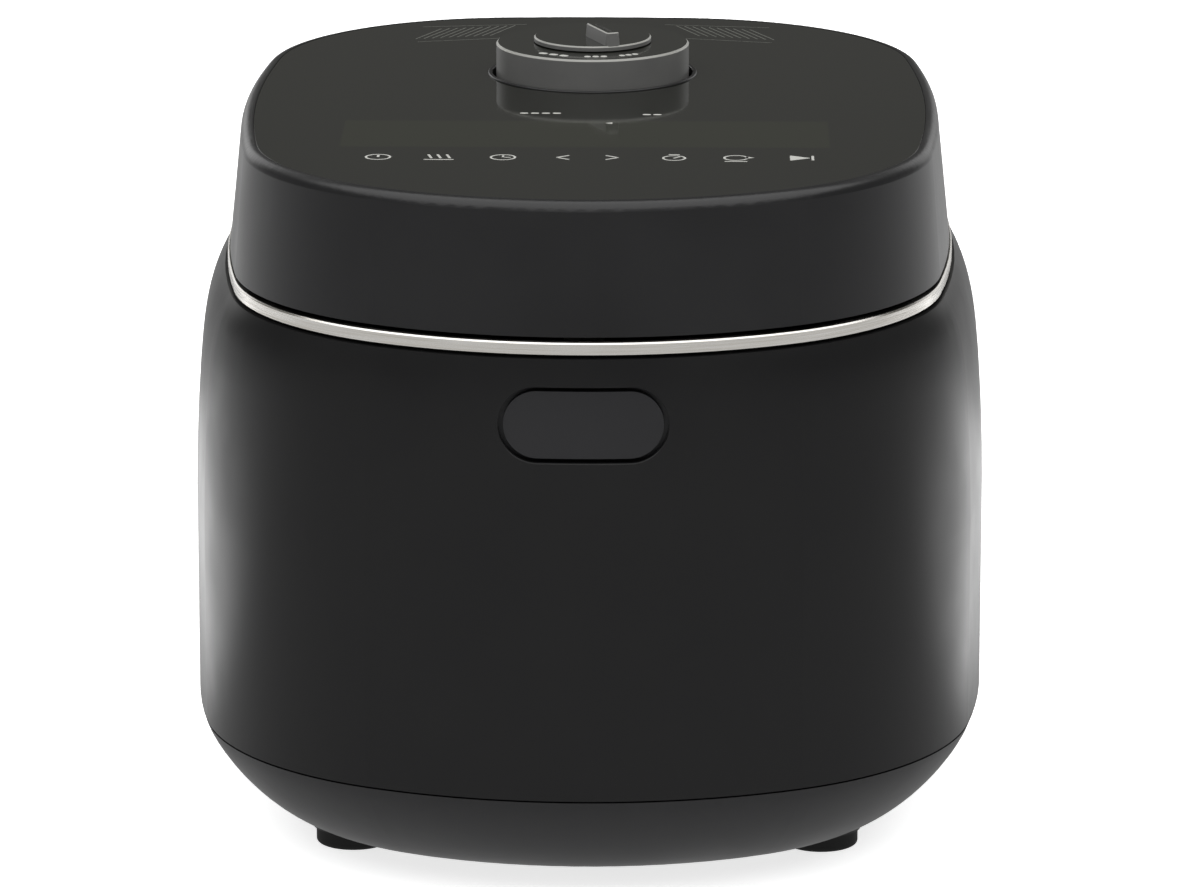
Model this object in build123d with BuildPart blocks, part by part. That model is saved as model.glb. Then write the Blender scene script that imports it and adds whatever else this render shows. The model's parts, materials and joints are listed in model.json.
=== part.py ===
from build123d import *

import os
from collections import namedtuple
from math import sqrt

os.makedirs("parts", exist_ok=True)

# An electric pressure cooker with a flip-up lid, lid closed. Millimetres, +Z up, front at -Y,
# origin on the table below the centre of the footprint.

# Plan outlines: one front arc, two front corners, two side arcs, two back corners, one back arc,
# each tangent to the next.
Plan = namedtuple(
    "Plan",
    "front back half_width widest_y r_front r_front_corner r_side r_back_corner r_back",
)
BODY = Plan(176, 176, 142.3, -2, 176, 108, 447, 100, 500)
TRIM = Plan(172.2, 171, 130.4, 5, 152, 102, 560, 97, 508)
LID_FOOT = Plan(170.5, 169.5, 129.4, 5, 150, 100, 600, 95, 508)
LID_TOP = Plan(164, 166.3, 124.7, 6, 146, 96, 690, 91, 510)

# Levels
SEAM_Z = 42.0
BODY_TOP_Z = 197.4
TRIM_Z = (198.7, 202.8)
LID_Z = (204.4, 249.8)
WALL = 2.6
# The shoulder leans in from SHOULDER_Z: gently at first, then rolling over below the trim ring.
SHOULDER_Z = 117.0
SHOULDER_STEPS = 12
# Section of the base cover's bowl, a Bezier curve of (inset from the BODY outline, height)
BOWL = ((0, 41.4), (3, 32), (22, 6.5), (43, 6))
BOWL_STEPS = 9

POT_Y = -20.0
POT_RADIUS = 113.0
HINGE_Y = 157.0
HINGE_Z = 214.0
PIN_RADIUS = 3.0
RUNNING = 0.06

BUTTON_Z = 174.7
BUTTON_WINDOW = (58.0, 26.2)
BUTTON_FACE = (54.6, 23.2)
LATCH_Y = -156.0
LATCH_Z = 183.0
CAP_Y = 57.0
CAP_RADIUS = 35.4
CAP_TOP_Z = 261.3
# Raised lip of the well that the steam cap sits in
LIP_RADII = (36.8, 38.4)
LIP_TOP_Z = 250.3
# Knob disc, and the grip bar that runs from its centre to its edge
DISC_RADIUS = 21.5
DISC_Z = (261.7, 263.5)
GRIP = (22.0, 5.6, 5.0)
GRIP_ANGLE = 112
FLOAT_AT = (45, 20)

FEET = ((-83, -88), (83, -88), (-83, 88), (83, 88))
BASE_SCREWS = ((-62, -100), (62, -100), (-70, 52), (70, 52))
LID_SCREWS = ((-88, -112), (88, -112), (-96, 82), (96, 82))


def corner_centre(first, first_gap, second, second_gap, side):
    """Centre of the corner arc that is tangent to two arcs, side -1 for front and 1 for back."""
    across = second - first
    span = across.length
    along = (first_gap**2 - second_gap**2 + span**2) / (2 * span)
    off = sqrt(first_gap**2 - along**2)
    unit = across.normalized()
    normal = Vector(-unit.Y, unit.X)
    options = [first + unit * along + normal * off * sign for sign in (1, -1)]
    return min(options, key=lambda point: -point.Y * side)


def centres(plan):
    front = Vector(0, plan.r_front - plan.front)
    back = Vector(0, plan.back - plan.r_back)
    side = Vector(plan.half_width - plan.r_side, plan.widest_y)
    gap_front = plan.r_front - plan.r_front_corner
    gap_back = plan.r_back - plan.r_back_corner
    front_corner = corner_centre(front, gap_front, side, plan.r_side - plan.r_front_corner, -1)
    back_corner = corner_centre(back, gap_back, side, plan.r_side - plan.r_back_corner, 1)
    return front, front_corner, side, back_corner, back


def mirrored(point):
    return Vector(-point.X, point.Y)


def arc(start, end, centre):
    """Arc from start to end about centre, the short way round."""
    middle = centre + ((start - centre) + (end - centre)).normalized() * (start - centre).length
    ThreePointArc(start, middle, end)


def outline(plan, inset=0.0, mode=Mode.ADD):
    """Adds the plan's face, drawn in by inset, to the open sketch, or cuts it out."""
    front, front_corner, side, back_corner, back = centres(plan)
    p1 = front_corner + (front_corner - front).normalized() * (plan.r_front_corner - inset)
    p2 = front_corner + (front_corner - side).normalized() * (plan.r_front_corner - inset)
    p3 = back_corner + (back_corner - side).normalized() * (plan.r_back_corner - inset)
    p4 = back_corner + (back_corner - back).normalized() * (plan.r_back_corner - inset)
    with BuildLine() as edge:
        arc(mirrored(p1), p1, front)
        arc(p1, p2, front_corner)
        arc(p2, p3, side)
        arc(p3, p4, back_corner)
        arc(p4, mirrored(p4), back)
        arc(mirrored(p4), mirrored(p3), mirrored(back_corner))
        arc(mirrored(p3), mirrored(p2), mirrored(side))
        arc(mirrored(p2), mirrored(p1), mirrored(front_corner))
    make_face(edge.edges(), mode=mode)


def outset(plan, distance):
    grown = [value + distance for value in plan]
    return Plan(*grown)._replace(widest_y=plan.widest_y)


def mixed(first, second, share):
    return Plan(*(a + (b - a) * share for a, b in zip(first, second)))


SHOULDER_TOP = outset(TRIM, 1.0)


def slab(plan, z0, z1, inset=0.0, mode=Mode.ADD):
    """Straight prism on a plan outline between two heights."""
    with BuildSketch(Plane.XY.offset(z0)) as face:
        outline(plan, inset)
    extrude(face.sketch, amount=z1 - z0, mode=mode)


def shoulder(step):
    """Height of one shoulder section, and its share of the way from BODY to SHOULDER_TOP."""
    t = (step / SHOULDER_STEPS) ** 0.8
    return SHOULDER_Z + (BODY_TOP_Z - SHOULDER_Z) * t, 0.45 * t**1.6 + 0.55 * t**9


def body_form(inset=0.0, past=0.0, mode=Mode.ADD):
    """The outer body as a full solid, drawn in by inset, its ends carried past the real ends."""
    slab(BODY, SEAM_Z - past, SHOULDER_Z, inset, mode)
    sections = []
    for step in range(SHOULDER_STEPS + 1):
        z, share = shoulder(step)
        with BuildSketch(Plane.XY.offset(z)) as face:
            outline(mixed(BODY, SHOULDER_TOP, share), inset)
        sections.append(face.sketch)
    loft(sections, mode=mode)
    if past:
        slab(SHOULDER_TOP, BODY_TOP_Z, BODY_TOP_Z + past, inset, mode)


def bowl_form(inset=0.0, lift=0.0, mode=Mode.ADD):
    """The base cover's outside as a full solid, drawn in by inset, its floor raised by lift."""
    sections = []
    for step in range(BOWL_STEPS + 1):
        t = step / BOWL_STEPS
        weights = ((1 - t) ** 3, 3 * t * (1 - t) ** 2, 3 * t**2 * (1 - t), t**3)
        drawn_in = sum(weight * point[0] for weight, point in zip(weights, BOWL))
        height = sum(weight * point[1] for weight, point in zip(weights, BOWL))
        with BuildSketch(Plane.XY.offset(height + lift * t)) as face:
            outline(BODY, drawn_in + inset)
        sections.append(face.sketch)
    loft(sections, mode=mode)
    if mode == Mode.SUBTRACT:
        slab(BODY, BOWL[0][1], BOWL[0][1] + 1, inset, mode)


def block(x, y, z, mode=Mode.ADD):
    """Box given by its low and high limits along each axis."""
    with Locations(((x[0] + x[1]) / 2, (y[0] + y[1]) / 2, (z[0] + z[1]) / 2)):
        Box(x[1] - x[0], y[1] - y[0], z[1] - z[0], mode=mode)


def rod(radius, z, at=(0, 0), mode=Mode.ADD):
    with Locations((at[0], at[1], (z[0] + z[1]) / 2)):
        Cylinder(radius, z[1] - z[0], mode=mode)


def rod_x(radius, x, y, z, mode=Mode.ADD):
    with Locations(((x[0] + x[1]) / 2, y, z)):
        Cylinder(radius, x[1] - x[0], rotation=(0, 90, 0), mode=mode)


def rod_y(radius, x, y, z, mode=Mode.ADD):
    with Locations((x, (y[0] + y[1]) / 2, z)):
        Cylinder(radius, y[1] - y[0], rotation=(90, 0, 0), mode=mode)


def pill_y(width, height, y, z, mode=Mode.ADD):
    """Pill-shaped prism running along Y, centred on x = 0."""
    with BuildSketch(Plane.XZ.offset(-y[0])) as face:
        with Locations((0, z)):
            SlotOverall(width, height)
    extrude(face.sketch, amount=y[0] - y[1], mode=mode)


def coil(radius, wire, pitch, height, start, direction):
    """Helical wire spring."""
    with BuildPart() as spring:
        with BuildLine() as path:
            Helix(pitch, height, radius, center=start, direction=direction)
        with BuildSketch(Plane(origin=path.line @ 0, z_dir=path.line % 0)):
            Circle(wire / 2)
        sweep()
    return spring


def screws(spots, head_z):
    """Identical cross-head screws driven upwards, each a solid of its own."""
    cut = (head_z - 1, head_z + 0.15)
    with BuildPart() as fasteners:
        for x, y in spots:
            rod(3.8, (head_z - 0.9, head_z + 0.9), (x, y))
            rod(1.9, (head_z, head_z + 9), (x, y))
            block((x - 2.2, x + 2.2), (y - 0.45, y + 0.45), cut, Mode.SUBTRACT)
            block((x - 0.45, x + 0.45), (y - 2.2, y + 2.2), cut, Mode.SUBTRACT)
    return fasteners


# ---------------------------------------------------------------- body and base

with BuildPart() as outer_body:
    body_form()
    body_form(WALL, 1.0, Mode.SUBTRACT)
    # Window for the lid release button
    pill_y(*BUTTON_WINDOW, (-182, -160), BUTTON_Z, Mode.SUBTRACT)
    window = outer_body.faces().filter_by(
        lambda face: abs(face.center().Z - BUTTON_Z) < 14 and face.center().Y < -168 and face.area < 400
    )
    brim = []
    for face in window:
        lengths = {}
        for edge in face.edges():
            if edge.length > 5:
                spot = (round(abs((edge @ 0.5).X)), round((edge @ 0.5).Z))
                lengths.setdefault(spot, []).append(edge)
        for pair in lengths.values():
            brim.append(min(pair, key=lambda edge: (edge @ 0.5).Y))
    chamfer(brim, 0.3)
    # Socket for the mains inlet
    block((-28, 28), (165, 174), (50, 86))
    block((-25, 25), (171, 182), (53, 83), Mode.SUBTRACT)
    block((-14.4, 14.4), (160, 180), (57.6, 78.4), Mode.SUBTRACT)
    # Opening for the condensate cup
    block((-41.5, 41.5), (160, 182), (150.2, 189.2), Mode.SUBTRACT)
outer_body.part.label = "outer_body"
export_step(outer_body.part, "parts/outer_body.step")

with BuildPart() as base_cover:
    bowl_form()
    bowl_form(2.9, 2.6, Mode.SUBTRACT)
    # Locating lip behind the seam
    with BuildSketch(Plane.XY.offset(38)):
        outline(BODY, 2.9)
        outline(BODY, 5.1, Mode.SUBTRACT)
    extrude(amount=10)
    for spot in FEET:
        rod(14.5, (6, 13), spot)
        rod(4.1, (5, 11), spot, Mode.SUBTRACT)
    for spot in BASE_SCREWS:
        rod(6.5, (6.6, 10), spot)
        rod(4.1, (5, 7.4), spot, Mode.SUBTRACT)
        rod(2.05, (5, 12), spot, Mode.SUBTRACT)
    # Cooling slots in the floor
    for row in (-60, -48, -36, 0, 12, 24):
        block((-34, -6), (row - 1.5, row + 1.5), (4, 12), Mode.SUBTRACT)
        block((6, 34), (row - 1.5, row + 1.5), (4, 12), Mode.SUBTRACT)
base_cover.part.label = "base_cover"
export_step(base_cover.part, "parts/base_cover.step")

for number, spot in enumerate(FEET, start=1):
    with BuildPart() as foot:
        rod(13.4, (0, 5.9), spot)
        fillet(foot.edges().filter_by(GeomType.CIRCLE).group_by(Axis.Z)[0], 1.2)
        rod(4.0, (5, 10.6), spot)
        rod(5.0, (-1, 1.2), spot, Mode.SUBTRACT)
    foot.part.label = f"foot_{number}"
    export_step(foot.part, f"parts/foot_{number}.step")

base_screws = screws(BASE_SCREWS, 6.4)
base_screws.part.label = "base_screws"
export_step(base_screws.part, "parts/base_screws.step")

with BuildPart() as trim_ring:
    slab(TRIM, TRIM_Z[0], TRIM_Z[1])
    chamfer(trim_ring.faces().sort_by(Axis.Z)[-1].edges(), 0.5)
    slab(TRIM, TRIM_Z[0] - 1, TRIM_Z[1] + 1, 3.3, Mode.SUBTRACT)
    block((-80, 80), (100, 180), (190, 210), Mode.SUBTRACT)
trim_ring.part.label = "trim_ring"
export_step(trim_ring.part, "parts/trim_ring.step")

with BuildPart() as upper_frame:
    slab(TRIM, 190.5, TRIM_Z[1] - 0.2, 3.4)
    slab(TRIM, 195.3, 205.0, 5.8, Mode.SUBTRACT)
    slab(TRIM, 189.0, 192.3, 5.8, Mode.SUBTRACT)
    # Collar round the pot rim
    rod(122.0, (192.3, 198.3), (0, POT_Y))
    rod(119.7, (195.3, 200), (0, POT_Y), Mode.SUBTRACT)
    rod(116.2, (190, 200), (0, POT_Y), Mode.SUBTRACT)
    # Rear gap for the hinge, front gap for the latch hook
    block((-80, 80), (141, 180), (195.3, 210), Mode.SUBTRACT)
    block((-13, 13), (-165, -146), (190, 196), Mode.SUBTRACT)
upper_frame.part.label = "upper_frame"
export_step(upper_frame.part, "parts/upper_frame.step")

# ---------------------------------------------------------------- heating and pot

with BuildPart() as heat_shield:
    rod(117.2, (20, 192.2), (0, POT_Y))
    fillet(heat_shield.edges().group_by(Axis.Z)[0], 10)
    with BuildPart(mode=Mode.SUBTRACT) as shell:
        rod(116.0, (21.2, 193), (0, POT_Y))
        fillet(shell.edges().group_by(Axis.Z)[0], 8.8)
    rod(26.0, (10, 30), (0, POT_Y), Mode.SUBTRACT)
    rod(121.5, (190.8, 192.2), (0, POT_Y))
    rod(116.0, (190, 193), (0, POT_Y), Mode.SUBTRACT)
    for spot in BASE_SCREWS:
        rod(5.0, (10.1, 20.6), spot)
        rod(2.0, (9, 18), spot, Mode.SUBTRACT)
heat_shield.part.label = "heat_shield"
export_step(heat_shield.part, "parts/heat_shield.step")

with BuildPart() as heating_plate:
    rod(84, (27, 35.9), (0, POT_Y))
    fillet(heating_plate.edges().group_by(Axis.Z)[-1], 2)
    with Locations((0, POT_Y, 27)):
        Torus(62, 4.2)
    rod(21, (20, 40), (0, POT_Y), Mode.SUBTRACT)
    with Locations((0, POT_Y, 24.2)):
        with PolarLocations(74, 3):
            Cylinder(6, 6)
    # Two cold ends of the tubular element
    for x in (-9, 9):
        rod_y(4.2, x, (POT_Y - 62, POT_Y - 44), 27)
        rod(2.2, (22.0, 27), (x, POT_Y - 46))
heating_plate.part.label = "heating_plate"
export_step(heating_plate.part, "parts/heating_plate.step")

with BuildPart() as sensor_holder:
    rod(30, (18.7, 19.9), (0, POT_Y))
    rod(7.5, (11.5, 19.9), (0, POT_Y))
    rod(5.0 + RUNNING, (10, 22), (0, POT_Y), Mode.SUBTRACT)
sensor_holder.part.label = "sensor_holder"
export_step(sensor_holder.part, "parts/sensor_holder.step")

sensor_spring = coil(9.0, 1.4, 3.1, 8.2, (0, POT_Y, 20.9), (0, 0, 1))
sensor_spring.part.label = "sensor_spring"
export_step(sensor_spring.part, "parts/sensor_spring.step")

with BuildPart() as temperature_sensor:
    rod(19, (32.4, 35.6), (0, POT_Y))
    fillet(temperature_sensor.edges().group_by(Axis.Z)[-1], 1)
    rod(5.0, (12.0, 33), (0, POT_Y))
temperature_sensor.part.label = "temperature_sensor"
export_step(temperature_sensor.part, "parts/temperature_sensor.step")

with BuildPart() as inner_pot:
    rod(POT_RADIUS, (36.0, 197.4), (0, POT_Y))
    fillet(inner_pot.edges().group_by(Axis.Z)[0], 18)
    rod(119.0, (195.4, 197.4), (0, POT_Y))
    with BuildPart(mode=Mode.SUBTRACT) as hollow:
        rod(POT_RADIUS - 2.4, (38.4, 199), (0, POT_Y))
        fillet(hollow.edges().group_by(Axis.Z)[0], 15.6)
inner_pot.part.label = "inner_pot"
export_step(inner_pot.part, "parts/inner_pot.step")

with BuildPart() as thermal_fuse:
    rod(2.4, (104, 132), (85.6, 65.6))
    rod(3.3, (114, 124), (85.6, 65.6))
thermal_fuse.part.label = "thermal_fuse"
export_step(thermal_fuse.part, "parts/thermal_fuse.step")

with BuildPart() as board_bracket:
    block((-62, 62), (104, 105.2), (48, 192.2))
    block((-62, 62), (104, 116), (191, 192.2))
    block((-50, 50), (96, 112), (60, 128), Mode.SUBTRACT)
    for x in (-58, 58):
        for z in (56, 132):
            rod_y(3, x, (105, 110), z)
board_bracket.part.label = "board_bracket"
export_step(board_bracket.part, "parts/board_bracket.step")

with BuildPart() as power_board:
    block((-60, 60), (110.1, 111.7), (50, 138))
    block((-52, -24), (111.7, 129), (58, 80))
    block((-16, 14), (111.7, 133), (96, 126))
    block((26, 48), (111.7, 127), (102, 122))
    block((20, 52), (111.7, 124), (56, 64))
    for x in (-46, -32):
        rod_y(6.5, x, (111.7, 134), 104)
    for step in range(5):
        block((-18 + 7 * step, -14 + 7 * step), (111.7, 116), (58, 66))
power_board.part.label = "power_board"
export_step(power_board.part, "parts/power_board.step")

with BuildPart() as power_inlet:
    block((-24.6, 24.6), (171.1, 173.3), (53.4, 82.6))
    fillet(power_inlet.edges().filter_by(Axis.Y), 3)
    block((-14.2, 14.2), (152, 171.2), (57.8, 78.2))
    with BuildPart(mode=Mode.SUBTRACT) as cavity:
        block((-12.2, 12.2), (155, 175), (60, 76.2))
        chamfer(cavity.edges().filter_by(Axis.Y).group_by(Axis.Z)[-1], 4.5)
    for x, z in ((-7, 65.6), (0, 70.4), (7, 65.6)):
        block((x - 1, x + 1), (154, 170), (z - 2, z + 2))
        block((x - 2.4, x + 2.4), (146, 154), (z - 0.4, z + 0.4))
power_inlet.part.label = "power_inlet"
export_step(power_inlet.part, "parts/power_inlet.step")

# ---------------------------------------------------------------- condensate cup at the back

with BuildPart() as dew_housing:
    block((-43.2, 43.2), (131, 168.2), (148.4, 190.3))
    block((-41.2, 41.2), (133, 173), (150.4, 188.8), Mode.SUBTRACT)
    block((-30, 30), (136, 160), (188, 193), Mode.SUBTRACT)
dew_housing.part.label = "dew_housing"
export_step(dew_housing.part, "parts/dew_housing.step")

with BuildPart() as dew_cup:
    block((-40.7, 40.7), (133.6, 172.6), (151.0, 188.4))
    fillet(dew_cup.edges().filter_by(Axis.X).group_by(Axis.Z)[0].sort_by(Axis.Y)[0], 8)
    with BuildPart(mode=Mode.SUBTRACT) as well:
        block((-38.7, 38.7), (135.6, 170.6), (153.0, 200))
        fillet(well.edges().filter_by(Axis.X).group_by(Axis.Z)[0], 6)
    # Finger ledge in the outer face
    block((-22, 22), (171.4, 176), (176, 183), Mode.SUBTRACT)
dew_cup.part.label = "dew_cup"
export_step(dew_cup.part, "parts/dew_cup.step")

# ---------------------------------------------------------------- release button and latch

with BuildPart() as open_button:
    body_form(0.9)
    pill_y(*BUTTON_FACE, (-182, -168.5), BUTTON_Z, Mode.INTERSECT)
    pill_y(61, 29, (-169.3, -167.6), BUTTON_Z)
    for x in (-20, 20):
        rod_y(2.4, x, (-168, -152), BUTTON_Z)
    block((-4, 4), (-168, LATCH_Y - 2.6), (167.5, 170))
open_button.part.label = "open_button"
export_step(open_button.part, "parts/open_button.step")

with BuildPart() as button_guide:
    block((-32, 32), (-160.0, -157.6), (158, 188))
    block((-15.2, 15.2), (-170, -150), (160, 192), Mode.SUBTRACT)
    block((-32, 32), (-160.0, -157.6), (155, 159))
    for side in (-1, 1):
        block((side * 32 - 1, side * 32 + 1), (-168.6, -157.6), (158, 188))
    for x in (-20, 20):
        rod_y(4.4, x, (-160, -146), BUTTON_Z)
        rod_y(2.4 + RUNNING, x, (-170, -140), BUTTON_Z, Mode.SUBTRACT)
button_guide.part.label = "button_guide"
export_step(button_guide.part, "parts/button_guide.step")

for number, x in enumerate((-20, 20), start=1):
    button_spring = coil(4.0, 0.8, 0.95, 1.9, (x, -162.6, BUTTON_Z), (0, 1, 0))
    button_spring.part.label = f"button_spring_{number}"
    export_step(button_spring.part, f"parts/button_spring_{number}.step")

with BuildPart() as latch_bracket:
    block((-21, 21), (-152.2, -147), (190.6, 192.2))
    for side in (-1, 1):
        block((side * 12 - 1, side * 12 + 1), (-161, -147), (178, 192.2))
        block((side * 16 - 5, side * 16 + 5), (-161, -147), (190.6, 192.2))
    rod_x(2.02, (-20, 20), LATCH_Y, LATCH_Z, Mode.SUBTRACT)
latch_bracket.part.label = "latch_bracket"
export_step(latch_bracket.part, "parts/latch_bracket.step")

with BuildPart() as latch_pin:
    rod_x(2.0, (-14.4, 14.4), LATCH_Y, LATCH_Z)
    rod_x(3.2, (13.1, 14.5), LATCH_Y, LATCH_Z)
    rod_x(3.2, (-14.5, -13.1), LATCH_Y, LATCH_Z)
latch_pin.part.label = "latch_pin"
export_step(latch_pin.part, "parts/latch_pin.step")

with BuildPart() as latch_lever:
    rod_x(4.6, (-7, 7), LATCH_Y, LATCH_Z)
    block((-7, 7), (LATCH_Y - 2.2, LATCH_Y + 1.2), (165, LATCH_Z))
    block((-7, 7), (LATCH_Y - 1.6, LATCH_Y + 1.6), (LATCH_Z, 210))
    block((-7, 7), (LATCH_Y - 1.6, LATCH_Y + 3.0), (207.6, 210))
    rod_x(2.0 + RUNNING, (-12, 12), LATCH_Y, LATCH_Z, Mode.SUBTRACT)
latch_lever.part.label = "latch_lever"
export_step(latch_lever.part, "parts/latch_lever.step")

latch_spring = coil(3.0, 0.6, 0.8, 2.4, (7.8, LATCH_Y, LATCH_Z), (1, 0, 0))
latch_spring.part.label = "latch_spring"
export_step(latch_spring.part, "parts/latch_spring.step")

# ---------------------------------------------------------------- hinge

with BuildPart() as hinge_bracket:
    block((-53, 53), (148.8, 163.5), (195.4, 198.0))
    for x in (-50, -26, 26, 50):
        block((x - 2, x + 2), (150.5, 163.5), (197, HINGE_Z))
        rod_x(6.5, (x - 2, x + 2), HINGE_Y, HINGE_Z)
    rod_x(PIN_RADIUS + 0.02, (-80, 80), HINGE_Y, HINGE_Z, Mode.SUBTRACT)
hinge_bracket.part.label = "hinge_bracket"
export_step(hinge_bracket.part, "parts/hinge_bracket.step")

with BuildPart() as hinge_pin:
    rod_x(PIN_RADIUS, (-53.5, 53.5), HINGE_Y, HINGE_Z)
    rod_x(4.6, (52.1, 53.6), HINGE_Y, HINGE_Z)
    rod_x(4.6, (-53.6, -52.1), HINGE_Y, HINGE_Z)
hinge_pin.part.label = "hinge_pin"
export_step(hinge_pin.part, "parts/hinge_pin.step")

for number, start in enumerate((-22, 4), start=1):
    hinge_spring = coil(5.2, 1.6, 2.1, 17.5, (start, HINGE_Y, HINGE_Z), (1, 0, 0))
    hinge_spring.part.label = f"hinge_spring_{number}"
    export_step(hinge_spring.part, f"parts/hinge_spring_{number}.step")

with BuildPart() as hinge_cover:
    rod_x(11.0, (-76, 76), HINGE_Y, HINGE_Z)
    block((-76, 76), (HINGE_Y - 11, HINGE_Y + 11), (197.7, HINGE_Z))
    slab(TRIM, 190, 240, 0, Mode.INTERSECT)
    rod_x(9.2, (-55, 55), HINGE_Y, HINGE_Z, Mode.SUBTRACT)
    block((-55, 55), (HINGE_Y - 9.2, HINGE_Y + 9.2), (190, HINGE_Z), Mode.SUBTRACT)
    for side in (-1, 1):
        block((side * 38 - 7, side * 38 + 7), (140, HINGE_Y + 8.4), (203, 230), Mode.SUBTRACT)
hinge_cover.part.label = "hinge_cover"
export_step(hinge_cover.part, "parts/hinge_cover.step")

# ---------------------------------------------------------------- lid

with BuildPart() as lid_cover:
    for z, plan in zip(LID_Z, (LID_FOOT, LID_TOP)):
        with BuildSketch(Plane.XY.offset(z)):
            outline(plan)
    loft(ruled=True)
    fillet(lid_cover.faces().sort_by(Axis.Z)[-1].edges(), 4.0)
    for z, plan in zip((LID_Z[0], 244.6), (LID_FOOT, LID_TOP)):
        with BuildSketch(Plane.XY.offset(z)):
            outline(plan, 2.6)
    loft(ruled=True, mode=Mode.SUBTRACT)
    # Shelf that the control panel is laid on
    slab(LID_TOP, 247.5, 252, 4.2, Mode.SUBTRACT)
    # Well for the steam cap
    rod(41.0, (232.0, 245.0), (0, CAP_Y))
    rod(LIP_RADII[1], (244.0, LIP_TOP_Z), (0, CAP_Y))
    rod(LIP_RADII[0], (234.0, 252.0), (0, CAP_Y), Mode.SUBTRACT)
    fillet(lid_cover.edges().group_by(Axis.Z)[-1], 0.5)
    rod(6.6, (230.0, 236.0), (0, CAP_Y), Mode.SUBTRACT)
    for spot in LID_SCREWS:
        rod(5.0, (208.4, 245.0), spot)
        rod(2.0, (200.0, 214.5), spot, Mode.SUBTRACT)
    # Display opening, touch electrode holes
    block((-89, 87), (-78, -27), (240, 250), Mode.SUBTRACT)
    for column in range(8):
        rod(5.0, (240, 250), (-72.8 + 20.8 * column, -92), Mode.SUBTRACT)
    # Rear wall cleared round the hinge
    block((-78, 78), (144.4, 175), (200, HINGE_Z), Mode.SUBTRACT)
    rod_x(12.6, (-78, 78), HINGE_Y, HINGE_Z, Mode.SUBTRACT)
    block((-78, 78), (HINGE_Y, 175), (200, HINGE_Z + 12), Mode.SUBTRACT)
lid_cover.part.label = "lid_cover"
export_step(lid_cover.part, "parts/lid_cover.step")

with BuildPart() as control_panel:
    slab(LID_TOP, 247.6, 249.7, 4.25)
    fillet(control_panel.faces().sort_by(Axis.Z)[-1].edges(), 0.25)
    rod(LIP_RADII[1] + 0.1, (240, 252), (0, CAP_Y), Mode.SUBTRACT)
control_panel.part.label = "control_panel"
export_step(control_panel.part, "parts/control_panel.step")

with BuildPart() as display_module:
    block((-88.4, 86.4), (-77.4, -27.6), (243.4, 247.4))
    block((-80, 78), (-72, -33), (241.0, 243.4))
display_module.part.label = "display_module"
export_step(display_module.part, "parts/display_module.step")

with BuildPart() as control_pcb:
    block((-98, 98), (-104, -24), (237.4, 239.0))
    block((-60, -40), (-60, -40), (234.0, 237.4))
    block((20, 34), (-66, -52), (234.0, 237.4))
    rod(6, (230.0, 237.4), (60, -50))
    block((-84, 82), (-70, -35), (239.0, 240.9))
    for column in range(8):
        rod(4.2, (239.0, 247.4), (-72.8 + 20.8 * column, -92))
control_pcb.part.label = "control_pcb"
export_step(control_pcb.part, "parts/control_pcb.step")

with BuildPart() as lid_liner:
    slab(LID_FOOT, 205.2, 208.2, 3.4)
    block((-78, 78), (144.4, 175), (200, 210), Mode.SUBTRACT)
    # Slot for the latch hook
    block((-14, 14), (-165.8, -148.5), (200, 212), Mode.SUBTRACT)
    rod(7.6, (200, 212), (0, CAP_Y), Mode.SUBTRACT)
    rod(7.6, (200, 212), FLOAT_AT, Mode.SUBTRACT)
    for spot in LID_SCREWS:
        rod(2.05, (200, 212), spot, Mode.SUBTRACT)
lid_liner.part.label = "lid_liner"
export_step(lid_liner.part, "parts/lid_liner.step")

with BuildPart() as pressure_plate:
    rod(114, (208.4, 210.9), (0, POT_Y))
    rod(7.6, (200, 212), (0, CAP_Y), Mode.SUBTRACT)
    rod(7.6, (200, 212), FLOAT_AT, Mode.SUBTRACT)
    for spot in LID_SCREWS[:2]:
        rod(5, (200, 212), spot, Mode.SUBTRACT)
pressure_plate.part.label = "pressure_plate"
export_step(pressure_plate.part, "parts/pressure_plate.step")

with BuildPart() as inner_lid:
    rod(112, (203.1, 205.0), (0, POT_Y))
    rod(98, (201.4, 203.4), (0, POT_Y))
    fillet(inner_lid.edges().group_by(Axis.Z)[0], 1.2)
    rod(96, (203.3, 207), (0, POT_Y), Mode.SUBTRACT)
    rod(7.6, (200, 212), (0, CAP_Y), Mode.SUBTRACT)
    rod(7.6, (200, 212), FLOAT_AT, Mode.SUBTRACT)
inner_lid.part.label = "inner_lid"
export_step(inner_lid.part, "parts/inner_lid.step")

with BuildPart() as sealing_gasket:
    with BuildSketch(Plane.XZ) as profile:
        with BuildLine():
            Polyline((106, 203.0), (112.5, 203.0), (114.2, 200.8), (118, 197.9), (108, 197.9),
                     (110.4, 200.4), (106, 200.6), close=True)
        make_face()
    revolve(axis=Axis.Z)
sealing_gasket.part = sealing_gasket.part.moved(Location((0, POT_Y, 0)))
sealing_gasket.part.label = "sealing_gasket"
export_step(sealing_gasket.part, "parts/sealing_gasket.step")

with BuildPart() as steam_pipe:
    rod(6.2, (199.0, 249.0), (0, CAP_Y))
    rod(9.5, (199.0, 201.2), (0, CAP_Y))
    rod(2.6, (190.0, 260.0), (0, CAP_Y), Mode.SUBTRACT)
steam_pipe.part.label = "steam_pipe"
export_step(steam_pipe.part, "parts/steam_pipe.step")

with BuildPart() as pipe_nut:
    with BuildSketch(Plane.XY.offset(211.0)):
        with Locations((0, CAP_Y)):
            RegularPolygon(11, 6)
            Circle(6.3, mode=Mode.SUBTRACT)
    extrude(amount=6)
pipe_nut.part.label = "pipe_nut"
export_step(pipe_nut.part, "parts/pipe_nut.step")

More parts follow.
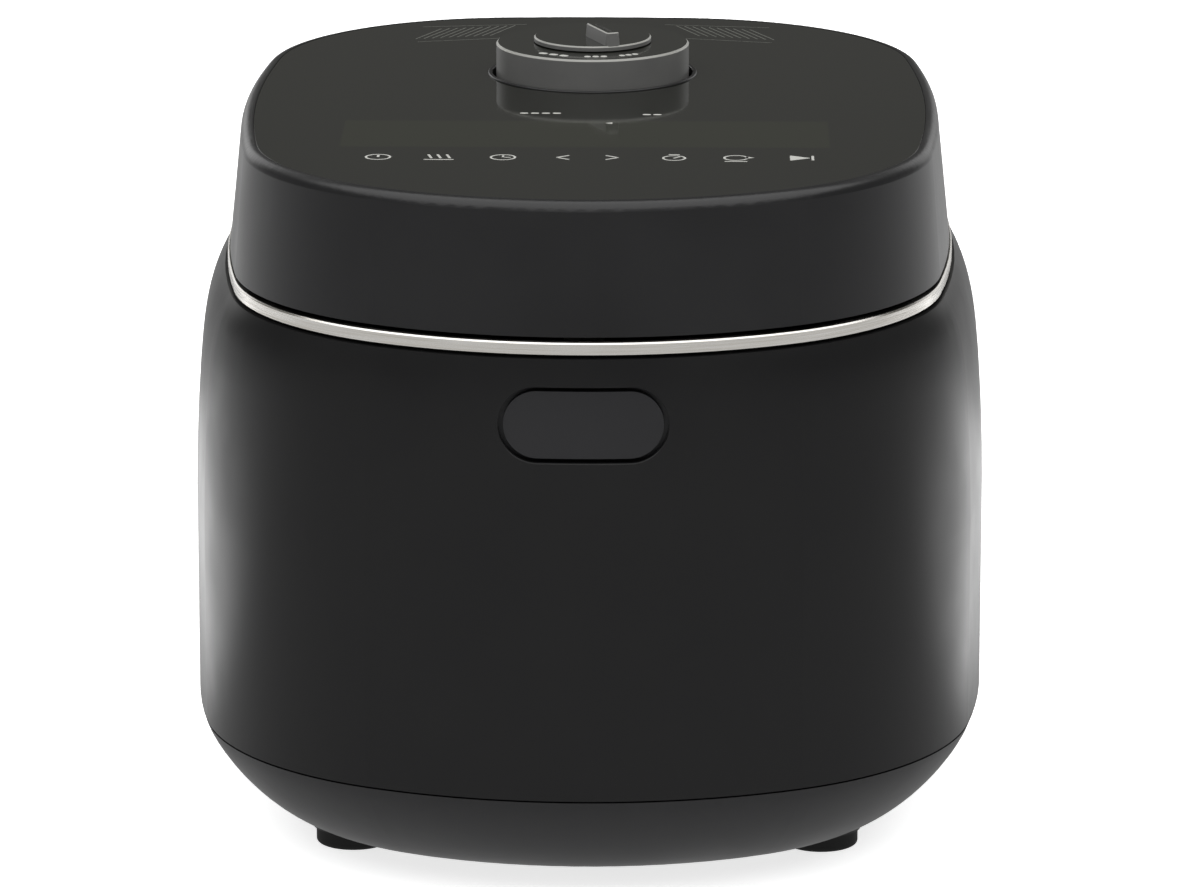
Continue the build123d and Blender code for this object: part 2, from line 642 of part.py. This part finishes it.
with BuildPart() as filter_cap:
    rod(13, (190.5, 198.8), (0, CAP_Y))
    rod(11.6, (192.0, 200), (0, CAP_Y), Mode.SUBTRACT)
    with Locations((0, CAP_Y, 190)):
        with PolarLocations(7, 8):
            Cylinder(1.6, 6, mode=Mode.SUBTRACT)
        with PolarLocations(12.4, 12):
            Box(3, 2, 10, mode=Mode.SUBTRACT)
    rod(4.0, (191.0, 198.8), (0, CAP_Y))
    rod(2.6, (189, 200), (0, CAP_Y), Mode.SUBTRACT)
filter_cap.part.label = "filter_cap"
export_step(filter_cap.part, "parts/filter_cap.step")

with BuildPart() as float_housing:
    rod(6.6, (200.6, 218.0), FLOAT_AT)
    rod(9.0, (199.6, 201.2), FLOAT_AT)
    rod(9.0, (211.1, 213.0), FLOAT_AT)
    rod(3.0 + RUNNING, (190, 220), FLOAT_AT, Mode.SUBTRACT)
float_housing.part.label = "float_housing"
export_step(float_housing.part, "parts/float_housing.step")

with BuildPart() as float_pin:
    rod(3.0, (192.0, 222.0), FLOAT_AT)
    rod(5.2, (191.2, 193.4), FLOAT_AT)
    rod(4.8, (218.5, 219.6), FLOAT_AT)
float_pin.part.label = "float_pin"
export_step(float_pin.part, "parts/float_pin.step")

with BuildPart() as float_seal:
    rod(5.2, (193.5, 195.2), FLOAT_AT)
    rod(3.05, (190, 200), FLOAT_AT, Mode.SUBTRACT)
float_seal.part.label = "float_seal"
export_step(float_seal.part, "parts/float_seal.step")

with BuildPart() as hinge_arms:
    block((-46, 46), (96, 128), (211.0, 213.0))
    for side in (-1, 1):
        block((side * 38 - 5, side * 38 + 5), (104, HINGE_Y), (211.0, 219.0))
        rod_x(8.0, (side * 38 - 5, side * 38 + 5), HINGE_Y, HINGE_Z)
    rod_x(PIN_RADIUS + RUNNING, (-70, 70), HINGE_Y, HINGE_Z, Mode.SUBTRACT)
hinge_arms.part.label = "hinge_arms"
export_step(hinge_arms.part, "parts/hinge_arms.step")

with BuildPart() as lid_catch:
    block((-12, 12), (LATCH_Y + 4.0, LATCH_Y + 7.0), (204.8, 216.0))
    block((-22, 22), (LATCH_Y + 4.0, LATCH_Y + 7.0), (211.0, 216.0))
    block((-22, 22), (LATCH_Y + 7.0, -130), (211.0, 213.2))
lid_catch.part.label = "lid_catch"
export_step(lid_catch.part, "parts/lid_catch.step")

lid_screws = screws(LID_SCREWS, 204.2)
lid_screws.part.label = "lid_screws"
export_step(lid_screws.part, "parts/lid_screws.step")

# ---------------------------------------------------------------- steam cap and its knob

with BuildPart() as steam_cap:
    rod(CAP_RADIUS, (236.4, CAP_TOP_Z), (0, CAP_Y))
    chamfer(steam_cap.edges().group_by(Axis.Z)[-1], 0.7)
    rod(33.6, (230, CAP_TOP_Z - 2.6), (0, CAP_Y), Mode.SUBTRACT)
    rod(5.0 + RUNNING, (250, 270), (0, CAP_Y), Mode.SUBTRACT)
    # Steam outlets low in the wall
    with Locations((0, CAP_Y, 241)):
        with PolarLocations(35, 12):
            Box(6, 4, 4, mode=Mode.SUBTRACT)
steam_cap.part.label = "steam_cap"
export_step(steam_cap.part, "parts/steam_cap.step")

with BuildPart() as cap_gasket:
    rod(33.5, (236.6, 238.6), (0, CAP_Y))
    rod(30.0, (230, 240), (0, CAP_Y), Mode.SUBTRACT)
cap_gasket.part.label = "cap_gasket"
export_step(cap_gasket.part, "parts/cap_gasket.step")

with BuildPart() as vent_knob:
    rod(DISC_RADIUS, DISC_Z, (0, CAP_Y))
    chamfer(vent_knob.edges().group_by(Axis.Z)[-1], 0.5)
    # The bar leads from the centre towards the front, a little to the right
    grip = Plane(origin=(0, CAP_Y, DISC_Z[1] - 0.2)).rotated((0, 0, GRIP_ANGLE))
    with BuildSketch(grip):
        with Locations((0.8 - GRIP[0] / 2, 0)):
            RectangleRounded(GRIP[0], GRIP[1], 1.4)
    extrude(amount=GRIP[2], taper=5)
    chamfer(vent_knob.edges().group_by(Axis.Z)[-1], 0.35)
    with BuildSketch(grip.offset(GRIP[2] - 0.6)):
        with Locations((-GRIP[0] / 2, 0)):
            SlotOverall(GRIP[0] - 7, 1.3)
    extrude(amount=1.0, mode=Mode.SUBTRACT)
    rod(5.0, (256.4, 262), (0, CAP_Y))
    rod(6.8, (256.4, 258.3), (0, CAP_Y))
vent_knob.part.label = "vent_knob"
export_step(vent_knob.part, "parts/vent_knob.step")

with BuildPart() as valve_weight:
    rod(10.0, (241.0, 253.2), (0, CAP_Y))
    fillet(valve_weight.edges().group_by(Axis.Z)[-1], 2)
    rod(6.6, (240.0, 249.4), (0, CAP_Y), Mode.SUBTRACT)
valve_weight.part.label = "valve_weight"
export_step(valve_weight.part, "parts/valve_weight.step")
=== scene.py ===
import json
from math import cos, radians, sin

import bpy
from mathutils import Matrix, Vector


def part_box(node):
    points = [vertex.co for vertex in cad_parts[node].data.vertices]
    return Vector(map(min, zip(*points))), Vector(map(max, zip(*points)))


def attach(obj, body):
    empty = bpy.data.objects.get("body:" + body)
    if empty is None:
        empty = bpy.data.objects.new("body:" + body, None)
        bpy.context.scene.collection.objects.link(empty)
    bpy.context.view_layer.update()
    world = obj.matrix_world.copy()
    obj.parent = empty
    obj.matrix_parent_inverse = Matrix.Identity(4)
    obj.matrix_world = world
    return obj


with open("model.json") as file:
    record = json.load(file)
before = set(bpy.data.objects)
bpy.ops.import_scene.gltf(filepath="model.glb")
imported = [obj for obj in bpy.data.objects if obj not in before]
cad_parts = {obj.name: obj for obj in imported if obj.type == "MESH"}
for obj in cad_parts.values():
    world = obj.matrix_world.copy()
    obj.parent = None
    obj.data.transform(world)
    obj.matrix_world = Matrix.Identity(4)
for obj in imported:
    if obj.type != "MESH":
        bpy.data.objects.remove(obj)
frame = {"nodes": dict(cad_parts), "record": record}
bpy.ops.object.select_all(action="DESELECT")
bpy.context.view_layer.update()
MM = 0.001


# ---------------------------------------------------------------- materials

def colour(code):
    """Scene-linear RGBA from an sRGB hex code."""
    parts = [int(code[i:i + 2], 16) / 255 for i in (0, 2, 4)]
    linear = [c / 12.92 if c <= 0.04045 else ((c + 0.055) / 1.055) ** 2.4 for c in parts]
    return (*linear, 1.0)


def add(tree, kind, inputs=None, **settings):
    """Adds a node, sets its properties, and fills or links its inputs."""
    node = tree.nodes.new(kind)
    for key, value in settings.items():
        setattr(node, key, value)
    for key, value in (inputs or {}).items():
        if isinstance(value, bpy.types.NodeSocket):
            tree.links.new(value, node.inputs[key])
        else:
            node.inputs[key].default_value = value
    return node


def start(name):
    """New node material: its tree, its shader node and its object coordinates."""
    material = bpy.data.materials.new(name)
    material.use_nodes = True
    tree = material.node_tree
    tree.nodes.clear()
    shader = add(tree, "ShaderNodeBsdfPrincipled")
    add(tree, "ShaderNodeOutputMaterial", {"Surface": shader.outputs[0]})
    place = add(tree, "ShaderNodeTexCoord").outputs["Object"]
    return material, tree, shader, place


def moulded(name, dark, light, rough, grain, depth, specular=0.5):
    """Injection-moulded plastic. Spark-eroded grain of the given size in mm breaks up the highlights,
    and slow drifts of tone and gloss come from the melt flow and from handling."""
    material, tree, shader, place = start(name)
    drift = add(tree, "ShaderNodeTexNoise", {"Vector": place, "Scale": 1 / (45 * MM), "Detail": 3.0})
    speckle = add(tree, "ShaderNodeTexNoise", {"Vector": place, "Scale": 1 / (grain * MM), "Detail": 2.0})
    tone = add(tree, "ShaderNodeMix", {0: drift.outputs[0], 6: colour(dark), 7: colour(light)},
               data_type="RGBA")
    gloss = add(tree, "ShaderNodeMapRange",
                {0: drift.outputs[0], 1: 0.3, 2: 0.7, 3: rough - 0.03, 4: rough + 0.04})
    bump = add(tree, "ShaderNodeBump",
               {"Height": speckle.outputs[0], "Strength": 0.5, "Distance": depth * MM})
    shader.inputs["Specular IOR Level"].default_value = specular
    tree.links.new(tone.outputs[2], shader.inputs["Base Color"])
    tree.links.new(gloss.outputs[0], shader.inputs["Roughness"])
    tree.links.new(bump.outputs[0], shader.inputs["Normal"])
    return material


# Real scratches are under 0.1 mm wide. These are drawn coarser, in mm, so that they show.
STREAK_LENGTH = 28
STREAK_WIDTH = 0.5


def brushed(name, dark, light, rough, across):
    """Brushed steel. Fine scratches lie square to one axis, so the highlight is drawn out along that axis,
    and long soft streaks of tone follow the scratches."""
    material, tree, shader, place = start(name)
    stretch = [1 / (STREAK_LENGTH * MM)] * 3
    stretch[across] = 1 / (STREAK_WIDTH * MM)
    scaled = add(tree, "ShaderNodeMapping", {"Vector": place, "Scale": stretch})
    hair = add(tree, "ShaderNodeTexNoise", {"Vector": scaled.outputs[0], "Scale": 1.0, "Detail": 2.0})
    tone = add(tree, "ShaderNodeMix", {0: hair.outputs[0], 6: colour(dark), 7: colour(light)},
               data_type="RGBA")
    gloss = add(tree, "ShaderNodeMapRange",
                {0: hair.outputs[0], 1: 0.3, 2: 0.7, 3: rough - 0.05, 4: rough + 0.07})
    bump = add(tree, "ShaderNodeBump", {"Height": hair.outputs[0], "Strength": 0.2, "Distance": 0.006 * MM})
    shader.inputs["Metallic"].default_value = 1.0
    tree.links.new(tone.outputs[2], shader.inputs["Base Color"])
    tree.links.new(gloss.outputs[0], shader.inputs["Roughness"])
    tree.links.new(bump.outputs[0], shader.inputs["Normal"])
    return material


def two_tone_painted_edge(name):
    """Satin grey sides with a gloss black face, as on a cap that is moulded in grey and printed on top.
    The grey is the cap's own grey, made lighter so that the sides look lit from the front: partly painted
    light.
    The edge between them is painted lighter: a painted highlight that draws a thin bright outline where the
    rounded edge would catch the lamp overhead. The three are told apart by the piece's own upward direction,
    so they stay in place when the lid opens."""
    material, tree, shader, place = start(name)
    split = add(tree, "ShaderNodeSeparateXYZ", {0: add(tree, "ShaderNodeTexCoord").outputs["Normal"]})
    # Mask of the painted edge highlight: the faces that slope between the side and the top.
    edge = add(tree, "ShaderNodeMapRange", {0: split.outputs[2], 1: 0.15, 2: 0.35, 3: 0.0, 4: 1.0})
    face = add(tree, "ShaderNodeMapRange", {0: split.outputs[2], 1: 0.92, 2: 0.97, 3: 0.0, 4: 1.0})
    drift = add(tree, "ShaderNodeTexNoise", {"Vector": place, "Scale": 1 / (12 * MM), "Detail": 3.0})
    speckle = add(tree, "ShaderNodeTexNoise", {"Vector": place, "Scale": 1 / (0.2 * MM), "Detail": 2.0})
    # Painted light: the sides' grey is lighter than the cap's own, so that they look lit from the front.
    side = add(tree, "ShaderNodeMix", {0: drift.outputs[0], 6: colour("5e5e5d"), 7: colour("6a6a68")},
               data_type="RGBA")
    # Painted highlight: a lighter band on the edge between sides and face, where a rounded edge would catch
    # the light.
    painted_edge_highlight = add(tree, "ShaderNodeMix", {0: edge.outputs[0], 6: side.outputs[2], 7: colour("8e8e89")},
               data_type="RGBA")
    tone = add(tree, "ShaderNodeMix", {0: face.outputs[0], 6: painted_edge_highlight.outputs[2], 7: colour("1b1c18")},
               data_type="RGBA")
    gloss = add(tree, "ShaderNodeMapRange", {0: face.outputs[0], 1: 0.0, 2: 1.0, 3: 0.40, 4: 0.12})
    bump = add(tree, "ShaderNodeBump",
               {"Height": speckle.outputs[0], "Strength": 0.4, "Distance": 0.006 * MM})
    tree.links.new(tone.outputs[2], shader.inputs["Base Color"])
    tree.links.new(gloss.outputs[0], shader.inputs["Roughness"])
    tree.links.new(bump.outputs[0], shader.inputs["Normal"])
    return material


def box_mask(tree, x, y, centre, half, soft):
    """1 inside a rectangle seen from above, 0 outside, with soft edges."""
    past = []
    for place, middle, reach in ((x, centre[0], half[0]), (y, centre[1], half[1])):
        offset = add(tree, "ShaderNodeMath", {0: place, 1: -middle * MM}, operation="ADD")
        away = add(tree, "ShaderNodeMath", {0: offset.outputs[0]}, operation="ABSOLUTE")
        past.append(add(tree, "ShaderNodeMath", {0: away.outputs[0], 1: -reach * MM}, operation="ADD"))
    edge = add(tree, "ShaderNodeMath", {0: past[0].outputs[0], 1: past[1].outputs[0]}, operation="MAXIMUM")
    return add(tree, "ShaderNodeMapRange", {0: edge.outputs[0], 1: 0.0, 2: -soft * MM, 3: 0.0, 4: 1.0})


# Display window on the panel, in mm seen from above: its middle, its half width and depth, its soft edge.
WINDOW_CENTRE = (-1, -52.5)
WINDOW_HALF = (86, 22.5)
WINDOW_BLUR = 0.6
# Real wiping marks are a few hundredths of a millimetre wide. These are drawn coarser so that they show.
HAIRLINE_LENGTH = 60
HAIRLINE_WIDTH = 1.5


def glossy_panel():
    """Back-printed gloss acrylic: almost a mirror, black below with a green cast over the display window,
    and the faint hairlines that wiping leaves."""
    material, tree, shader, place = start("gloss_acrylic")
    split = add(tree, "ShaderNodeSeparateXYZ", {0: place})
    window = box_mask(tree, split.outputs[0], split.outputs[1], WINDOW_CENTRE, WINDOW_HALF, WINDOW_BLUR)
    wipes = add(tree, "ShaderNodeMapping",
                {"Vector": place, "Scale": (1 / (HAIRLINE_LENGTH * MM), 1 / (HAIRLINE_WIDTH * MM), 1.0)})
    hair = add(tree, "ShaderNodeTexNoise", {"Vector": wipes.outputs[0], "Scale": 1.0, "Detail": 4.0})
    tone = add(tree, "ShaderNodeMix", {0: window.outputs[0], 6: colour("161713"), 7: colour("1e2017")},
               data_type="RGBA")
    gloss = add(tree, "ShaderNodeMapRange", {0: hair.outputs[0], 1: 0.35, 2: 0.75, 3: 0.045, 4: 0.10})
    tree.links.new(tone.outputs[2], shader.inputs["Base Color"])
    tree.links.new(gloss.outputs[0], shader.inputs["Roughness"])
    return material


# ABS moulded in a spark-eroded mould: near black, with soft broad highlights. The lid is a little glossier.
BLACK = moulded("moulded_abs_black", "111112", "161616", 0.38, 0.22, 0.010, 0.20)
LID = moulded("moulded_abs_lid", "151516", "1a1a1b", 0.32, 0.22, 0.008, 0.40)
BUTTON = moulded("moulded_abs_button", "18181a", "1e1e20", 0.38, 0.20, 0.008, 0.34)
# Polypropylene with a coarser grain: a duller charcoal than the body.
BASE = moulded("moulded_pp_charcoal", "171718", "1d1d1e", 0.42, 0.30, 0.014, 0.24)
DIAL = two_tone_painted_edge("printed_abs_dial")
# Glass-filled PBT, as used near heat: matt black.
FRAME = moulded("moulded_pbt_frame", "141414", "1a1a1a", 0.55, 0.35, 0.02)
# Smoke-grey polypropylene from a polished mould: lighter and smoother than the body.
CUP = moulded("moulded_pp_smoke", "3c3d3e", "46484a", 0.28, 0.5, 0.006)
# Rubber and silicone: no clear highlight, black feet and off-white seals.
RUBBER = moulded("nitrile_rubber", "101010", "171717", 0.75, 0.4, 0.03, 0.3)
SILICONE = moulded("silicone_rubber", "b9b8b0", "c6c5bd", 0.5, 0.6, 0.01, 0.4)
# Sprayed non-stick coating: dark grey with a fine pebble.
COATING = moulded("nonstick_coating", "2a2b2d", "3a3b3d", 0.38, 0.12, 0.02)
# Lacquered glass-epoxy laminate: green with a soft gloss.
BOARD = moulded("circuit_laminate", "0d3a1c", "15512a", 0.35, 0.8, 0.02)
# Stainless steel: a trim brushed along its length, rolled sheet, and turned parts with a tight shine.
STEEL = brushed("brushed_steel_trim", "b8b2a7", "f4f3f1", 0.24, 2)
SHEET = brushed("rolled_steel_sheet", "9d9c98", "b5b4b0", 0.38, 0)
BRIGHT = brushed("turned_steel", "a7a7a6", "c9c9c7", 0.20, 2)
# Die-cast aluminium: a metal with a dull, slightly rough skin.
CAST = moulded("cast_aluminium", "8d8e8f", "a4a5a6", 0.5, 0.9, 0.05)
CAST.node_tree.nodes["Principled BSDF"].inputs["Metallic"].default_value = 1.0
PANEL = glossy_panel()
# Screen-printed ink: flat and matt on the gloss panel, light for the keys and faint for the rear blocks.
INK = moulded("screen_print_ink", "a3a39e", "b7b7b2", 0.55, 0.10, 0.004)
FAINT = moulded("screen_print_ink_faint", "4c4d48", "595a55", 0.60, 0.10, 0.004)

FINISH = {
    "body_plastic": BLACK, "base_plastic": BASE, "frame_plastic": FRAME, "panel_gloss": PANEL,
    "trim_steel": STEEL, "foot_rubber": RUBBER, "silicone": SILICONE, "sheet_steel": SHEET,
    "bright_steel": BRIGHT, "spring_steel": BRIGHT, "zinc": BRIGHT, "cast_aluminium": CAST,
    "pot_coating": COATING, "circuit_board": BOARD, "inlet_plastic": FRAME, "cup_plastic": CUP,
}
OWN = {"lid_cover": LID, "steam_cap": DIAL, "vent_knob": DIAL, "open_button": BUTTON}
for part in frame["record"]["subparts"]:
    mesh = frame["nodes"][part["node"]].data
    mesh.materials.clear()
    mesh.materials.append(OWN.get(part["node"], FINISH[part["material_slot"]]))


# ---------------------------------------------------------------- printed marks

INK_THICKNESS = 0.05
INK_SUNK = 0.01


def bar(x, y, length, width, turn=0.0):
    """Flat bar with rounded ends."""
    bpy.ops.mesh.primitive_plane_add(size=1, location=(x * MM, y * MM, 0), rotation=(0, 0, radians(turn)))
    piece = bpy.context.object
    piece.scale = (length * MM, width * MM, 1)
    bpy.ops.object.transform_apply(location=False, rotation=False, scale=True)
    bpy.ops.object.mode_set(mode="EDIT")
    bpy.ops.mesh.bevel(offset=min(length, width) * 0.46 * MM, segments=4, affect="VERTICES")
    bpy.ops.object.mode_set(mode="OBJECT")
    return piece


def ring(x, y, outside, width, sides=48, turn=0.0):
    """Flat ring, or with 3 sides a hollow triangle. A width of 0 leaves it filled."""
    bpy.ops.mesh.primitive_circle_add(vertices=sides, radius=outside * MM, fill_type="NGON",
                                      location=(x * MM, y * MM, 0), rotation=(0, 0, radians(turn)))
    piece = bpy.context.object
    bpy.ops.object.mode_set(mode="EDIT")
    if width:
        bpy.ops.mesh.inset(thickness=width * MM)
        bpy.ops.mesh.delete(type="FACE")
    else:
        bpy.ops.mesh.bevel(offset=outside * 0.12 * MM, segments=2, affect="VERTICES")
    bpy.ops.object.mode_set(mode="OBJECT")
    return piece


def printed(name, shapes, z, material, body):
    """Joins flat shapes into one printed layer of ink lying on the surface at height z."""
    bpy.ops.object.select_all(action="DESELECT")
    for shape in shapes:
        shape.select_set(True)
    bpy.context.view_layer.objects.active = shapes[0]
    if len(shapes) > 1:
        bpy.ops.object.join()
    layer = bpy.context.object
    layer.name = name
    bpy.ops.object.mode_set(mode="EDIT")
    bpy.ops.mesh.select_all(action="SELECT")
    bpy.ops.mesh.extrude_region_move(TRANSFORM_OT_translate={"value": (0, 0, INK_THICKNESS * MM)})
    bpy.ops.mesh.select_all(action="SELECT")
    bpy.ops.mesh.normals_make_consistent(inside=False)
    bpy.ops.object.mode_set(mode="OBJECT")
    layer.location.z += (z - INK_SUNK) * MM
    bpy.ops.object.transform_apply(location=True, rotation=True, scale=True)
    layer.data.materials.clear()
    layer.data.materials.append(material)
    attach(layer, body)
    return layer


PANEL_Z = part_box("control_panel")[1].z / MM
CAP_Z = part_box("steam_cap")[1].z / MM
# Where the marks lie on the panel, in mm seen from above. The keys are in one row, left to right.
KEY_Y = -92
OFF_X, WARM_X, TIMER_X, LESS_X = -72.5, -51.3, -29.1, -8.3
MORE_X, TIME_X, REHEAT_X, START_X = 8.7, 30.3, 51.7, 72.9
marks = {
    "key_off": [ring(OFF_X, KEY_Y, 4.6, 0.8), bar(OFF_X, KEY_Y + 2.4, 0.9, 5.0)],
    "key_warm": [bar(WARM_X + 3.2 * (i - 1), KEY_Y + 1.2, 0.9, 6.4, 12) for i in range(3)]
    + [bar(WARM_X, KEY_Y - 4.0, 10.5, 1.0)],
    "key_timer": [ring(TIMER_X, KEY_Y, 4.6, 0.8), bar(TIMER_X, KEY_Y + 1.3, 0.8, 3.4),
                  bar(TIMER_X + 1.2, KEY_Y, 3.0, 0.8)],
    "key_less": [bar(LESS_X, KEY_Y + 1.7, 5.6, 0.9, 38), bar(LESS_X, KEY_Y - 1.7, 5.6, 0.9, -38)],
    "key_more": [bar(MORE_X, KEY_Y + 1.7, 5.6, 0.9, -38), bar(MORE_X, KEY_Y - 1.7, 5.6, 0.9, 38)],
    "key_time": [ring(TIME_X, KEY_Y - 0.6, 4.2, 0.8), bar(TIME_X, KEY_Y + 5.0, 4.0, 1.0),
                 bar(TIME_X + 0.9, KEY_Y + 0.4, 3.4, 0.8, 50)],
    "key_reheat": [ring(REHEAT_X, KEY_Y, 4.4, 0.8), ring(REHEAT_X + 4.5, KEY_Y + 0.4, 2.0, 0, 3, 30),
                   bar(REHEAT_X, KEY_Y - 5.8, 8.0, 0.9)],
    "key_start": [ring(START_X, KEY_Y, 4.8, 0, 3, -90), bar(START_X + 5.5, KEY_Y, 0.9, 7.4)],
    "mode_left": [bar(-23.5 + 3.9 * i, -17, 3.0, 1.8) for i in range(4)],
    "mode_right": [bar(20.4 + 3.8 * i, -19, 3.0, 1.8) for i in range(2)],
    "dial_pointer": [ring(7.4, -34, 1.7, 0, 3, 90)],
}
for name, shapes in marks.items():
    printed(name, shapes, PANEL_Z, INK, "lid")
for side, name in ((-1, "rear_hatch_left"), (1, "rear_hatch_right")):
    rows = [bar(side * (63 - 3.1 * i), 129 + 0.8 * i, 22.0, 0.55, 90 + side * 24) for i in range(10)]
    rows += [bar(side * 46, 145.5, 40, 0.5, -side * 8), bar(side * 50, 117.5, 34, 0.5, -side * 14)]
    printed(name, rows, PANEL_Z, FAINT, "lid")
# Three groups of three dashes on the cap's top, one at each place of the knob.
CAP_Y = 57
DASH_RADIUS = 28.6
for turn, length, name in ((-29, 13, "cap_mark_left"), (3, 9, "cap_mark_middle"), (28, 8, "cap_mark_right")):
    angle = radians(turn)
    step = length / 3
    x = DASH_RADIUS * sin(angle)
    y = CAP_Y - DASH_RADIUS * cos(angle)
    dashes = [bar(x + i * step * cos(angle), y + i * step * sin(angle), length / 3.8, 2.6, turn)
              for i in (-1, 0, 1)]
    printed(name, dashes, CAP_Z, INK, "steam_cap")


# ---------------------------------------------------------------- stage

bpy.ops.mesh.primitive_plane_add(size=12, location=(0, 0, 0))
floor = bpy.context.object
floor.name = "floor"
paper, tree, shader, _ = start("matt_paper")
shader.inputs["Base Color"].default_value = colour("f4f4f4")
shader.inputs["Roughness"].default_value = 0.9
shader.inputs["Specular IOR Level"].default_value = 0.1
shader.inputs["Emission Color"].default_value = (1, 1, 1, 1)
shader.inputs["Emission Strength"].default_value = 0.75
# The floor and the surroundings are white to the eye, and dimmer in reflections,
# so that the dark plastic stays dark.
glow = add(tree, "ShaderNodeEmission", {"Color": (1, 1, 1, 1), "Strength": 0.68})
gloss_ray = add(tree, "ShaderNodeLightPath").outputs["Is Glossy Ray"]
cover = add(tree, "ShaderNodeMixShader", {0: gloss_ray, 1: shader.outputs[0], 2: glow.outputs[0]})
tree.links.new(cover.outputs[0], tree.nodes["Material Output"].inputs["Surface"])
floor.data.materials.append(paper)

world = bpy.data.worlds.new("studio")
bpy.context.scene.world = world
world.use_nodes = True
tree = world.node_tree
tree.nodes.clear()
path = add(tree, "ShaderNodeLightPath")
ambient = add(tree, "ShaderNodeBackground", {"Color": (1, 1, 1, 1), "Strength": 0.26})
mirror = add(tree, "ShaderNodeBackground", {"Color": (1, 0.99, 0.95, 1), "Strength": 0.115})
white = add(tree, "ShaderNodeBackground", {"Color": (1, 1, 1, 1), "Strength": 1.0})
seen = add(tree, "ShaderNodeMixShader", {0: path.outputs["Is Glossy Ray"], 1: ambient.outputs[0],
                                         2: mirror.outputs[0]})
whole = add(tree, "ShaderNodeMixShader", {0: path.outputs["Is Camera Ray"], 1: seen.outputs[0],
                                          2: white.outputs[0]})
add(tree, "ShaderNodeOutputWorld", {"Surface": whole.outputs[0]})


def softbox(name, at, aim, width, height, power):
    """White rectangular lamp at a place in metres, turned to face a point."""
    lamp = bpy.data.lights.new(name, "AREA")
    lamp.shape = "RECTANGLE"
    lamp.size = width
    lamp.size_y = height
    lamp.energy = power
    holder = bpy.data.objects.new(name, lamp)
    holder.location = at
    holder.rotation_euler = (Vector(aim) - Vector(at)).to_track_quat("-Z", "Y").to_euler()
    bpy.context.scene.collection.objects.link(holder)


# Two lamps behind and two cards on the floor light the sides, and the big one overhead the rounded edges.
softbox("left_back", (-0.85, 1.45, 0.68), (0, 0, 0.3), 0.8, 0.9, 2.6)
softbox("right_back", (0.85, 1.45, 0.68), (0, 0, 0.3), 0.8, 0.9, 2.0)
softbox("left_card", (-0.42, 0.30, 0.004), (-0.42, 0.30, 1), 0.42, 0.5, 1.3)
softbox("right_card", (0.42, 0.30, 0.004), (0.42, 0.30, 1), 0.42, 0.5, 1.3)
softbox("overhead", (0, -0.4, 1.9), (0, 0, 0.1), 4.4, 3.2, 84)
softbox("front_fill", (0, -2.4, 1.5), (0, 0, 0.1), 1.6, 0.8, 3.5)

AIM = Vector((0, -0.026, 0.135))
camera = bpy.data.cameras.new("camera")
camera.lens = 211.3
camera.sensor_width = 36
camera.clip_end = 50
camera.shift_x = 0.0013
camera.shift_y = -0.0111
view = bpy.data.objects.new("camera", camera)
view.location = (0.0338, -2.4472, 0.7567)
view.rotation_euler = (AIM - view.location).to_track_quat("-Z", "Y").to_euler()
bpy.context.scene.collection.objects.link(view)
bpy.context.scene.camera = view
bpy.context.scene.view_settings.view_transform = "Standard"
